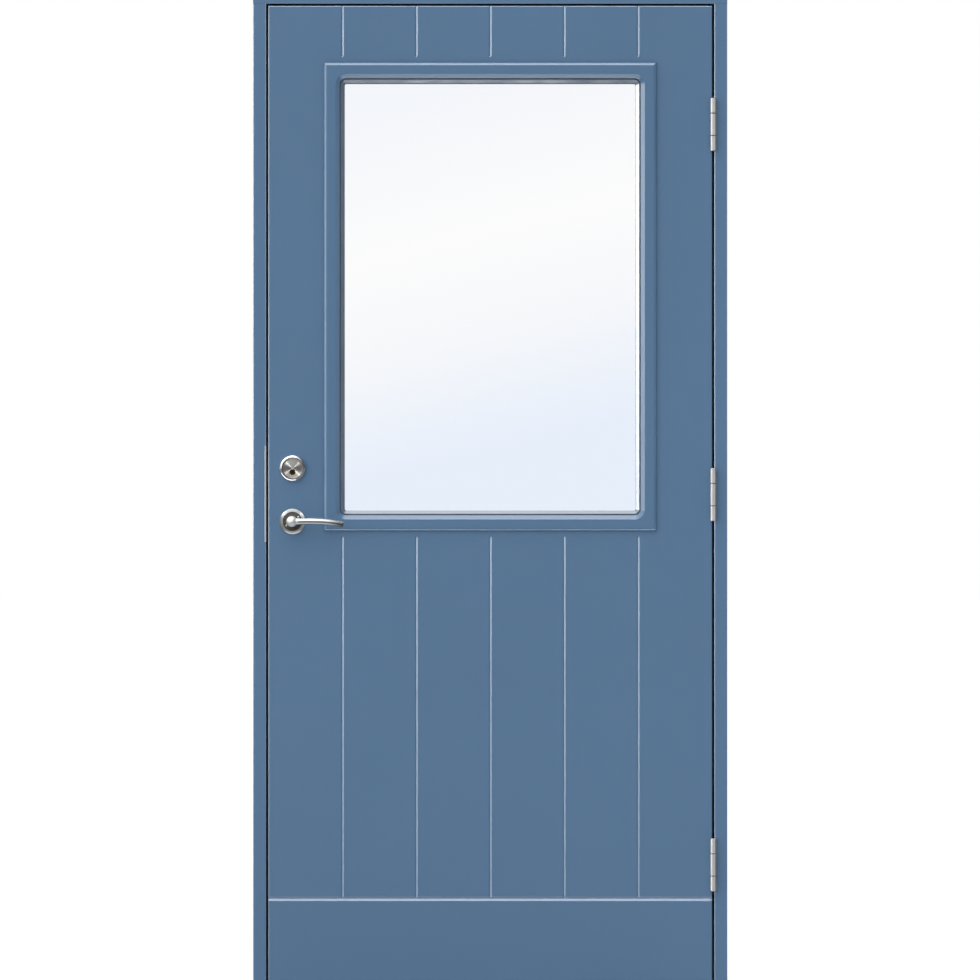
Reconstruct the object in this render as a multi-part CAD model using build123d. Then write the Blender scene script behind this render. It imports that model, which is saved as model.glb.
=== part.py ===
from build123d import *
import os

# Glazed exterior door hung in a rebated timber frame. It opens outwards, hinges on the right.
# Millimetres. X runs along the wall, Y from outside to inside and Z up. The origin is on the
# underside of the threshold, in the middle of the frame's width and depth.

# Frame
frame_width = 990.0
frame_height = 2090.0
frame_depth = 105.0
jamb_face = 27.0
stop_height = 14.5
arris_width = 1.5
arris_depth = 0.9
fixing_hole = 14.0
fixing_end = 145.0
fixing_inner_spacing = 800.0

# Threshold
threshold_rise = 12.5
threshold_fall = 4.0
threshold_overlap = 10.0
cap_thickness = 2.0

# Leaf
leaf_thickness = 62.0
leaf_gap = 5.0
seal_gap = 11.0
lock_bevel = 3.0
skin_thickness = 9.0
core_gap = 20.0
top_rail_height = 80.0
bottom_rail_height = 120.0

# Milled grooves
groove_fields = 6
groove_width = 6.0
groove_depth = 1.6
groove_stop_above = 14.0
groove_stop_below = 13.5
base_groove_height = 177.0
base_groove_width = 9.5
base_groove_depth = 2.6

# Window
glazing_side_margin = 116.0
glazing_top_margin = 118.0
glazing_height = 978.0
moulding_width = 42.5
moulding_height = 9.0
moulding_round = 7.6
moulding_slope = 8.5
moulding_slope_fall = 8.0
moulding_arris = 1.2
lip_width = 8.0
lip_gap = 1.6
lip_height = 7.0
lip_foot = 1.5
gasket_thickness = 3.0
gasket_reach = 17.0
daylight_radius = 4.0
cutout_gap = 1.0
pane_thickness = 4.0
pane_gap = 16.0
pane_setback = 12.0
pane_bite = 14.0
spacer_inset = 5.0
spacer_width = 7.0

# Seals
seal_width = 8.0
seal_clearance = 1.0

# Hinges
hinge_length = 110.0
hinge_margin = 248.0
knuckle_radius = 6.5
knuckle_middle = 45.0
knuckle_gap = 1.5
knuckle_standoff = 0.5
knuckle_chamfer = 0.9
pin_radius = 3.5
pin_clearance = 0.05
hinge_plate = 3.0
hinge_plate_depth = 32.0

# Lock and strike
backset = 50.5
lock_height = 1039.5
lever_drop = 57.5
cylinder_rise = 53.5
strike_length = 200.0
strike_thickness = 3.0
strike_width = 42.0
keep_width = 18.0
keep_length = 42.0
keep_depth = 20.0
keep_shift = 41.0
forend_length = 235.0
forend_width = 22.0
forend_depth = 5.0
bolt_width = 14.0
bolt_length = 36.0
bolt_proud = 0.4
bolt_round = 0.3

# Cylinder
ring_radius = 27.25
ring_height = 10.0
ring_round = 5.0
ring_lip = 0.9
face_gap = 0.3
face_height = 8.0
face_chamfer = 0.8
plug_drop = 8.0
plug_radius = 6.2
plug_clearance = 0.1
plug_recess = 2.5
keyway_width = 2.2
keyway_length = 8.6
keyway_depth = 4.0
turn_rose_radius = 26.5
turn_rose_height = 9.0
turn_neck_radius = 9.0
turn_neck_height = 8.0
turn_grip_length = 38.0
turn_grip_width = 11.0
turn_grip_height = 15.0
turn_round = 3.0

# Lever handle
rose_radius = 26.5
rose_height = 8.5
rose_bevel = 2.9
rose_lip = 3.4
rose_floor = 4.0
rose_gap = 0.1
hub_clearance = 0.5
neck_radius = 10.5
neck_start = 1.0
lever_reach = 107.0
lever_stand = 44.0
elbow_radius = 11.5
arm_sections = 6
arm_root_height = 14.0
arm_root_depth = 16.0
arm_tip_height = 11.5
arm_tip_depth = 10.0
arm_rise = 0.6
arm_drop = 7.0
arm_lean = 6.0
arm_tip_round = 3.2
spindle_width = 8.0
spindle_play = 0.1
spindle_socket = 14.0
spindle_hole = 20.0

over = 1.0

# Planes and lines that the pieces share
front = -frame_depth / 2
back = frame_depth / 2
leaf_back = front + leaf_thickness
leaf_middle = front + leaf_thickness / 2
stop_front = leaf_back + seal_gap
half_width = frame_width / 2
rebate_x = half_width - jamb_face
stop_x = rebate_x - stop_height
head_under = frame_height - jamb_face
leaf_right = rebate_x - leaf_gap
leaf_left = -leaf_right
leaf_width = leaf_right - leaf_left
leaf_bottom = threshold_rise + leaf_gap
leaf_top = head_under - leaf_gap
upstand_top = leaf_bottom + threshold_overlap
glazing_width = leaf_width - 2 * glazing_side_margin
glazing_z = leaf_top - glazing_top_margin - glazing_height / 2
daylight_width = glazing_width - 2 * moulding_width
daylight_height = glazing_height - 2 * moulding_width
cutout_step = gasket_reach + cutout_gap
core_x = daylight_width / 2 + cutout_step + core_gap
unit_thickness = 2 * pane_thickness + pane_gap
inside_setback = leaf_thickness - pane_setback - unit_thickness
lever_x = leaf_left + backset
lever_height = lock_height - lever_drop
cylinder_height = lock_height + cylinder_rise
ring_bore = ring_radius - ring_round - ring_lip
rose_bore = rose_radius - rose_bevel - rose_lip
hinge_x = leaf_right + leaf_gap / 2
hinge_y = front - knuckle_radius - knuckle_standoff
hinge_heights = {
    "lower": leaf_bottom + hinge_margin,
    "middle": (leaf_bottom + leaf_top) / 2,
    "upper": leaf_top - hinge_margin,
}

# Working planes on the two faces of the leaf, their normals pointing away from it
outside = Plane(origin=(0, front, 0), x_dir=(1, 0, 0), z_dir=(0, -1, 0))
inside = Plane(origin=(0, leaf_back, 0), x_dir=(-1, 0, 0), z_dir=(0, 1, 0))
mid_plane = Plane(origin=(0, leaf_middle, 0), x_dir=(1, 0, 0), z_dir=(0, -1, 0))
up = (Align.CENTER, Align.CENTER, Align.MIN)


def block(x0, x1, y0, y1, z0, z1):
    """A box between two corners."""
    centre = Pos((x0 + x1) / 2, (y0 + y1) / 2, (z0 + z1) / 2)
    return centre * Box(x1 - x0, y1 - y0, z1 - z0)


def along_x(points, x0, x1):
    """A prism with a (y, z) outline that runs from x0 to x1."""
    return extrude(Plane.YZ.offset(x0) * make_face(Polyline(*points, close=True)), x1 - x0)


def turned(points):
    """A solid turned about Z from a (radius, height) outline."""
    return revolve(Plane.XZ * make_face(Polyline(*points, close=True)), Axis.Z)


def rounded(width, height, radius, z0, z1):
    """A plate with rounded corners between two heights."""
    return extrude(Plane.XY.offset(z0) * RectangleRounded(width, height, radius), z1 - z0)


def ring_cut(step, z0, z1):
    """The space inside a line that lies a step outside the daylight opening."""
    width = daylight_width + 2 * step
    height = daylight_height + 2 * step
    return rounded(width, height, daylight_radius + step, z0, z1)


def flared_cut(step0, z0, step1, z1):
    """The space inside the daylight opening where it widens evenly towards the face."""
    ends = []
    for step, z in ((step0, z0), (step1, z1)):
        width = daylight_width + 2 * step
        height = daylight_height + 2 * step
        ends.append(Plane.XY.offset(z) * RectangleRounded(width, height, daylight_radius + step))
    return loft(ends, ruled=True)


# The frame

def ease(timber, grain):
    """A timber whose long front edges are eased to a flat arris."""
    face = timber.faces().sort_by(Axis.Y)[0]
    return chamfer(face.edges().filter_by(grain), arris_width, arris_depth, reference=face)


def plain_jamb():
    """The rebated post on the hinge side, before any fitting is let in."""
    post = ease(block(rebate_x, half_width, front, back, 0, head_under), Axis.Z)
    stop = block(stop_x, rebate_x, stop_front, back, 0, head_under)
    jamb = post + stop
    bore = Rot(0, 90, 0) * Cylinder(fixing_hole / 2, 2 * jamb_face)
    for reach in (frame_height / 2 - fixing_end, fixing_inner_spacing / 2):
        for end in (-1, 1):
            z = frame_height / 2 + end * reach
            jamb -= Pos(half_width - jamb_face / 2, leaf_middle, z) * bore
    return jamb


def hinge_jamb():
    """The post with a seat for each hinge's frame plate."""
    jamb = plain_jamb()
    for height in hinge_heights.values():
        z0 = height - hinge_length / 2
        x1 = rebate_x + hinge_plate
        y1 = front + hinge_plate_depth
        jamb -= block(rebate_x - over, x1, front - over, y1, z0, z0 + hinge_length)
    return jamb


def keep_openings(x0, x1):
    """The two openings that take the bolts, from x0 to x1."""
    openings = []
    for side in (-1, 1):
        z = lock_height + side * keep_shift
        z0 = z - keep_length / 2
        y0 = leaf_middle - keep_width / 2
        openings.append(block(x0, x1, y0, y0 + keep_width, z0, z0 + keep_length))
    return openings


def strike_blank(spare):
    """The strike plate's outline; the spare runs out into the gap for the seat in the jamb."""
    z0 = lock_height - strike_length / 2
    x0 = -rebate_x - strike_thickness
    y1 = front + strike_width
    return block(x0, -rebate_x + spare, front - spare, y1, z0, z0 + strike_length)


def lock_jamb():
    """The post with the seat of the strike plate and the pockets for the bolts."""
    jamb = mirror(plain_jamb(), about=Plane.YZ)
    jamb -= strike_blank(over)
    x0 = -rebate_x - strike_thickness - keep_depth
    for opening in keep_openings(x0, -rebate_x):
        jamb -= opening
    return jamb


def strike_plate():
    """The flat plate that the bolts close into, flush with the jamb."""
    plate = strike_blank(0)
    for opening in keep_openings(-rebate_x - strike_thickness, -rebate_x):
        plate -= opening
    return plate


def frame_head():
    """The head, which lies over both jambs, with its stop between their stops."""
    beam = ease(block(-half_width, half_width, front, back, head_under, frame_height), Axis.X)
    return beam + block(-stop_x, stop_x, stop_front, back, head_under - stop_height, head_under)


def ramp(depth_y, drop):
    """A point on the threshold's weathered slope, a drop below its surface."""
    share = (depth_y - front) / (stop_front - front)
    return (depth_y, threshold_rise - threshold_fall * (1 - share) - drop)


def threshold():
    """The timber threshold with an upstand behind the leaf, fitted between the jambs."""
    nose = front + cap_thickness
    outline = [(nose, 0), (back, 0), (back, upstand_top), (stop_front, upstand_top)]
    outline += [ramp(stop_front, cap_thickness), ramp(nose, cap_thickness)]
    sill = along_x(outline, -rebate_x, rebate_x)
    for x0 in (-rebate_x, stop_x):
        sill -= block(x0, x0 + stop_height, stop_front, back, 0, upstand_top)
    return sill


def threshold_cap():
    """The aluminium cap over the slope and the nose of the threshold."""
    nose = front + cap_thickness
    outline = [(front, 0), ramp(front, 0), ramp(stop_front, 0)]
    outline += [ramp(stop_front, cap_thickness), ramp(nose, cap_thickness), (nose, 0)]
    return along_x(outline, -rebate_x, rebate_x)


def seal(length):
    """A bulb seal along Z from the origin, its base on Y = 0 and its bulb towards -Y."""
    radius = seal_width / 2
    tip = seal_gap - seal_clearance
    stem = Pos(0, -(tip - radius) / 2) * Rectangle(seal_width, tip - radius)
    bulb = Pos(0, -(tip - radius)) * Circle(radius)
    return extrude(stem + bulb, length)


def seals():
    """The four seals on the stops, the upright ones between the level ones."""
    x = (stop_x + leaf_right) / 2
    low = (leaf_bottom + upstand_top) / 2
    high = (leaf_top + head_under - stop_height) / 2
    tall = seal(high - low - seal_width)
    wide = Rot(0, 90, 0) * seal(2 * x + seal_width)
    start = -x - seal_width / 2
    return {
        "lock_side_seal": Pos(-x, stop_front, low + seal_width / 2) * tall,
        "hinge_side_seal": Pos(x, stop_front, low + seal_width / 2) * tall,
        "threshold_seal": Pos(start, stop_front, low) * wide,
        "head_seal": Pos(start, stop_front, high) * wide,
    }


# The hinges

def knuckle(z0, z1):
    """One hinge knuckle between two heights, its ends eased."""
    barrel = Pos(hinge_x, hinge_y, z0) * Cylinder(knuckle_radius, z1 - z0, align=up)
    return chamfer(barrel.edges().filter_by(GeomType.CIRCLE), knuckle_chamfer)


def hinge_half(height, plate_x, spans):
    """A hinge plate with a knuckle on each of its spans, bored for the pin."""
    x1 = plate_x + hinge_plate
    z0 = height - hinge_length / 2
    half = block(plate_x, x1, front, front + hinge_plate_depth, z0, z0 + hinge_length)
    for low, high in spans:
        half += block(plate_x, x1, hinge_y, front, height + low, height + high)
        half += knuckle(height + low, height + high)
    bore = Cylinder(pin_radius + pin_clearance, 2 * hinge_length)
    return half - Pos(hinge_x, hinge_y, height) * bore


def hinge_parts(place, height):
    """The frame half, the leaf half and the pin of one hinge."""
    end = hinge_length / 2
    inner = knuckle_middle / 2
    frame_spans = ((-end, -inner - knuckle_gap), (inner + knuckle_gap, end))
    pin = Pos(hinge_x, hinge_y, height) * Cylinder(pin_radius, hinge_length)
    return {
        place + "_hinge_frame_half": hinge_half(height, rebate_x, frame_spans),
        place + "_hinge_leaf_half": hinge_half(height, leaf_right - hinge_plate, ((-inner, inner),)),
        place + "_hinge_pin": chamfer(pin.edges().filter_by(GeomType.CIRCLE), knuckle_chamfer),
    }


# The leaf

def leaf_blank():
    """The whole leaf: bevelled on the lock edge so that it swings clear, arrises eased."""
    corners = [(leaf_left, front), (leaf_right, front), (leaf_right, leaf_back)]
    corners.append((leaf_left + lock_bevel, leaf_back))
    outline = make_face(Polyline(*corners, close=True))
    blank = extrude(Pos(0, 0, leaf_bottom) * outline, leaf_top - leaf_bottom)
    for end in (0, -1):
        face = blank.faces().sort_by(Axis.Y)[end]
        blank = chamfer(face.edges(), arris_width, arris_depth, reference=face)
    return blank


def vee(width, depth, length, closed):
    """A vee cutter along +Y in a face at Z = 0; a closed one starts with the bit's cone."""
    mouth = width / 2 * (depth + over) / depth
    outline = make_face(Polyline((-mouth, over), (mouth, over), (0, -depth), close=True))
    cutter = extrude(Plane.XZ * outline, length, dir=(0, 1, 0))
    if closed:
        cutter += Pos(0, 0, (over - depth) / 2) * Cone(0, mouth, depth + over)
    return cutter


def groove_cutters():
    """The upright grooves over and under the window and the level groove near the foot."""
    base_z = leaf_bottom + base_groove_height
    high = glazing_z + glazing_height / 2 + groove_stop_above
    low = glazing_z - glazing_height / 2 - groove_stop_below
    upper = vee(groove_width, groove_depth, leaf_top + over - high, True)
    lower = vee(groove_width, groove_depth, low - base_z, True)
    cutters = []
    for field in range(1, groove_fields):
        x = leaf_left + field * leaf_width / groove_fields
        cutters.append(Pos(x, high, 0) * upper)
        cutters.append(Pos(x, low, 0) * Rot(0, 0, 180) * lower)
    level = vee(base_groove_width, base_groove_depth, frame_width, False)
    cutters.append(Pos(-half_width, base_z, 0) * Rot(0, 0, -90) * level)
    return cutters


def skin(face, y0):
    """One sheet of the leaf with its grooves, its window opening and the spindle hole."""
    sheet = leaf_blank() & block(-half_width, half_width, y0, y0 + skin_thickness, 0, frame_height)
    opening = ring_cut(cutout_step, -skin_thickness - over, over)
    sheet -= face * Pos(0, glazing_z, 0) * opening
    for cutter in groove_cutters():
        sheet -= face * cutter
    return sheet - spindle_bore()


def spindle_bore():
    """The clear hole through the leaf for the handle's spindle."""
    bore = Cylinder(spindle_hole / 2, 2 * leaf_thickness)
    return Pos(lever_x, leaf_middle, lever_height) * Rot(90, 0, 0) * bore


def forend_blank():
    """The seat of the lock's forend in the bevelled edge of the leaf."""
    z0 = lock_height - forend_length / 2
    y0 = leaf_middle - forend_width / 2
    return block(leaf_left, leaf_left + forend_depth, y0, y0 + forend_width, z0, z0 + forend_length)


def core_slab(x0, x1, z0, z1):
    """A timber of the leaf's core, between the skins."""
    y0 = front + skin_thickness
    y1 = leaf_back - skin_thickness
    return leaf_blank() & block(x0, x1, y0, y1, z0, z1)


def lock_stile():
    """The core timber along the lock edge, with the seat of the forend."""
    stile = core_slab(leaf_left, -core_x, leaf_bottom, leaf_top)
    return stile - forend_blank() - spindle_bore()


def hinge_seats():
    """The seats of the hinges' leaf plates."""
    seats = []
    for height in hinge_heights.values():
        z0 = height - hinge_length / 2
        x0 = leaf_right - hinge_plate
        y1 = front + hinge_plate_depth
        seats.append(block(x0, leaf_right + over, front - over, y1, z0, z0 + hinge_length))
    return seats


def lock_parts():
    """The forend with the latch bolt and the dead bolt, both drawn in."""
    forend = leaf_blank() & forend_blank()
    bolts = {}
    for name, side in (("latch_bolt", -1), ("dead_bolt", 1)):
        z0 = lock_height + side * keep_shift - bolt_length / 2
        y0 = leaf_middle - bolt_width / 2
        x0 = leaf_left + lock_bevel / 2 - bolt_proud
        x1 = leaf_left + forend_depth
        bolt = block(x0, x1, y0, y0 + bolt_width, z0, z0 + bolt_length)
        forend -= bolt
        bolts[name] = fillet(bolt.faces().sort_by(Axis.X)[0].edges(), bolt_round)
    return {"lock_forend": forend, **bolts}


# The window

def glazing_frame(glass_depth):
    """The raised moulding round the glass and its leg down to the gasket on the glass."""
    frame = Box(glazing_width, glazing_height, moulding_height, align=up)
    frame = fillet(frame.faces().sort_by(Axis.Z)[-1].edges(), moulding_round)
    leg_end = gasket_thickness - glass_depth
    frame += ring_cut(gasket_reach, leg_end, 0)
    inner = lip_width + lip_gap
    slope_z = moulding_height - moulding_slope_fall
    frame -= ring_cut(inner, leg_end, slope_z)
    frame -= flared_cut(inner, slope_z, inner + moulding_slope, moulding_height)
    top = frame.faces().filter_by(Plane.XY).sort_by(Axis.Z)[-1]
    return fillet(top.inner_wires()[0].edges(), moulding_arris)


def gasket(glass_depth):
    """The glazing gasket: a strip on the glass with a lip that slopes up beside the moulding."""
    foot = -glass_depth
    lip_top = foot + lip_height
    ring = ring_cut(gasket_reach, foot, foot + gasket_thickness)
    ring += ring_cut(lip_width, foot, lip_top)
    ring -= ring_cut(0, foot, foot + lip_foot)
    return ring - flared_cut(0, foot + lip_foot, lip_width - lip_foot, lip_top)


def window_parts():
    """The glazing from the outside in: moulding, gasket, pane, spacer, pane, gasket, moulding."""
    pane = ring_cut(pane_bite, -pane_thickness, 0)
    spacer = ring_cut(pane_bite - spacer_inset, -pane_gap, 0)
    spacer -= ring_cut(pane_bite - spacer_inset - spacer_width, -pane_gap, 0)
    out = outside * Pos(0, glazing_z, 0)
    inn = inside * Pos(0, glazing_z, 0)
    return {
        "outside_glazing_frame": out * glazing_frame(pane_setback),
        "outside_gasket": out * gasket(pane_setback),
        "outer_pane": out * Pos(0, 0, -pane_setback) * pane,
        "glass_spacer": out * Pos(0, 0, -pane_setback - pane_thickness) * spacer,
        "inner_pane": out * Pos(0, 0, -pane_setback - pane_thickness - pane_gap) * pane,
        "inside_gasket": inn * gasket(inside_setback),
        "inside_glazing_frame": inn * glazing_frame(inside_setback),
    }


# Lock cylinder and handle

def cylinder_parts():
    """The cylinder's ring, its turned face and the key plug, on the outside of the leaf."""
    at = outside * Pos(lever_x, cylinder_height, 0)
    ring = Cylinder(ring_radius, ring_height, align=up)
    ring = fillet(ring.faces().sort_by(Axis.Z)[-1].edges(), ring_round)
    ring -= Cylinder(ring_bore, 2 * ring_height)
    face = Cylinder(ring_bore - face_gap, face_height, align=up)
    face = chamfer(face.faces().sort_by(Axis.Z)[-1].edges(), face_chamfer)
    hole = Cylinder(plug_radius + plug_clearance, 2 * face_height)
    plug = Cylinder(plug_radius, face_height - plug_recess, align=up)
    slot = Pos(0, 0, face_height - plug_recess) * Box(keyway_width, keyway_length, 2 * keyway_depth)
    down = Pos(0, -plug_drop, 0)
    return {
        "cylinder_ring": at * ring,
        "cylinder_face": at * (face - down * hole),
        "key_plug": at * down * (plug - slot),
    }


def turn_parts():
    """The thumb-turn on the inside, with its rose."""
    at = inside * Pos(-lever_x, cylinder_height, 0)
    rose = Cylinder(turn_rose_radius, turn_rose_height, align=up)
    rose = fillet(rose.faces().sort_by(Axis.Z)[-1].edges(), turn_round)
    neck = Pos(0, 0, turn_rose_height) * Cylinder(turn_neck_radius, turn_neck_height, align=up)
    grip = Box(turn_grip_width, turn_grip_length, turn_grip_height, align=up)
    grip = fillet(grip.edges().filter_by(Axis.Z), turn_round)
    grip = fillet(grip.faces().sort_by(Axis.Z)[-1].edges(), turn_round)
    knob = neck + Pos(0, 0, turn_rose_height + turn_neck_height) * grip
    return {"turn_rose": at * rose, "thumb_turn": at * knob}


def lever():
    """A lever on its neck: an arm that thins, drops and leans back towards its tip."""
    neck = Pos(0, 0, neck_start) * Cylinder(neck_radius, lever_stand - neck_start, align=up)
    elbow = Pos(0, 0, lever_stand) * Sphere(elbow_radius)
    sections = []
    for index in range(arm_sections):
        share = index / (arm_sections - 1)
        height = arm_root_height + (arm_tip_height - arm_root_height) * share
        depth = arm_root_depth + (arm_tip_depth - arm_root_depth) * share
        rise = 4 * arm_rise * share * (1 - share) - arm_drop * share**4
        place = Pos(share * lever_reach, rise, lever_stand - arm_lean * share**2)
        sections.append(place * (Plane.YZ * Ellipse(height / 2, depth / 2)))
    arm = loft(sections)
    arm = fillet(arm.faces().sort_by(Axis.X)[-1].edges(), arm_tip_round)
    side = spindle_width + spindle_play
    socket = Box(side, side, neck_start + spindle_socket, align=up)
    return neck + elbow + arm - socket


def handle_parts():
    """Both levers with their roses, and the spindle between them."""
    at = outside * Pos(lever_x, lever_height, 0)
    ring = [(rose_radius, 0), (rose_radius, rose_height - rose_bevel)]
    ring += [(rose_radius - rose_bevel, rose_height), (rose_bore, rose_height), (rose_bore, 0)]
    hub = neck_radius + hub_clearance
    rim = rose_bore - rose_gap
    plate = [(rim, 0), (rim, rose_floor), (hub, rose_floor), (hub, 0)]
    shapes = {"rose": turned(ring), "rose_plate": turned(plate), "lever": lever()}
    parts = {}
    for name, shape in shapes.items():
        placed = at * shape
        parts["outside_" + name] = placed
        parts["inside_" + name] = mirror(placed, about=mid_plane)
    reach = leaf_thickness + 2 * spindle_socket
    bar = Box(spindle_width, reach, spindle_width)
    parts["spindle"] = Pos(lever_x, leaf_middle, lever_height) * bar
    return parts


def all_parts():
    """Every piece of the door, by name."""
    parts = {
        "frame_head": frame_head(),
        "lock_jamb": lock_jamb(),
        "hinge_jamb": hinge_jamb(),
        "threshold": threshold(),
        "threshold_cap": threshold_cap(),
        "strike_plate": strike_plate(),
    }
    parts.update(seals())
    for place, height in hinge_heights.items():
        parts.update(hinge_parts(place, height))
    leaf = {
        "outside_skin": skin(outside, front),
        "inside_skin": skin(inside, leaf_back - skin_thickness),
        "hinge_stile": core_slab(core_x, leaf_right, leaf_bottom, leaf_top),
    }
    for seat in hinge_seats():
        for name in ("outside_skin", "hinge_stile"):
            leaf[name] -= seat
    parts.update(leaf)
    parts["lock_stile"] = lock_stile()
    parts["top_rail"] = core_slab(-core_x, core_x, leaf_top - top_rail_height, leaf_top)
    foot = leaf_bottom + bottom_rail_height
    parts["bottom_rail"] = core_slab(-core_x, core_x, leaf_bottom, foot)
    parts.update(window_parts())
    parts.update(lock_parts())
    parts.update(cylinder_parts())
    parts.update(turn_parts())
    parts.update(handle_parts())
    return parts


os.makedirs("parts", exist_ok=True)
for name, shape in all_parts().items():
    export_step(shape, "parts/" + name + ".step")
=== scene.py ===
import logging
import math
from dataclasses import dataclass, field
from enum import Enum
from typing import ClassVar

import bmesh
import bpy
from mathutils import Matrix, Vector


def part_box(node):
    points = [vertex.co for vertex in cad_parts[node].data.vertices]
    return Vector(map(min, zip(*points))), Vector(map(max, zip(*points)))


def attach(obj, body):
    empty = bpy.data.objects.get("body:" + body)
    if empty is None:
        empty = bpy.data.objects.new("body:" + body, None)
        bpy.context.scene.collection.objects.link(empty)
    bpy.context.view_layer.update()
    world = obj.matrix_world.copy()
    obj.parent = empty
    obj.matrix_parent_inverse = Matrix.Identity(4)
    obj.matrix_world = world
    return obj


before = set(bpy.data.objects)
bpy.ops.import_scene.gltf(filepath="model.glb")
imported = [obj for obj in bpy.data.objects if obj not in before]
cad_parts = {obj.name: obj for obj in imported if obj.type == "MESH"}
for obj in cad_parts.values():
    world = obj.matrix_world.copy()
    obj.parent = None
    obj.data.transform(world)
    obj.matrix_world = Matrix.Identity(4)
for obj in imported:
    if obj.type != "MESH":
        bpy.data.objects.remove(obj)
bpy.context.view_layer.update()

LOG = logging.getLogger("door")
MM = 0.001
LAMP_DISTANCE = 6.0
QUARTER_TURN = 0.25

Colour = tuple[float, float, float]
Point = tuple[float, float, float]
Span = tuple[float, float]
Feed = bpy.types.NodeSocket | float | Colour | tuple[float, ...]
Feeds = dict[str | int, Feed]
Verts = list[bmesh.types.BMVert]

UNIT: Span = (0.0, 1.0)
NOISE_SPAN: Span = (0.25, 0.75)


class Run(Enum):
    """Which way the grain, brush marks or polishing lines of a surface run."""

    LEVEL = (1.0, 0.0, 0.0)
    DEPTH = (0.0, 1.0, 0.0)
    UPRIGHT = (0.0, 0.0, 1.0)

    def stretch(self, along: float, across: float) -> Point:
        """Texture scales with one value along the run and another across it.

        Args:
            along: Marks per metre along the run.
            across: Marks per metre across the run.

        Returns:
            The scale for X, Y and Z.
        """
        return tuple(along if share else across for share in self.value)


class Place(Enum):
    """The three hinges, from the top down."""

    UPPER = "upper"
    MIDDLE = "middle"
    LOWER = "lower"


class Side(Enum):
    """The two faces of the leaf, with the direction that each looks in."""

    OUTSIDE = -1.0
    INSIDE = 1.0

    @property
    def label(self) -> str:
        """The side's name as the pieces spell it."""
        return self.name.lower()

    @property
    def out(self) -> Vector:
        """The direction that points away from the leaf on this side."""
        return Vector((0.0, self.value, 0.0))


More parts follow.
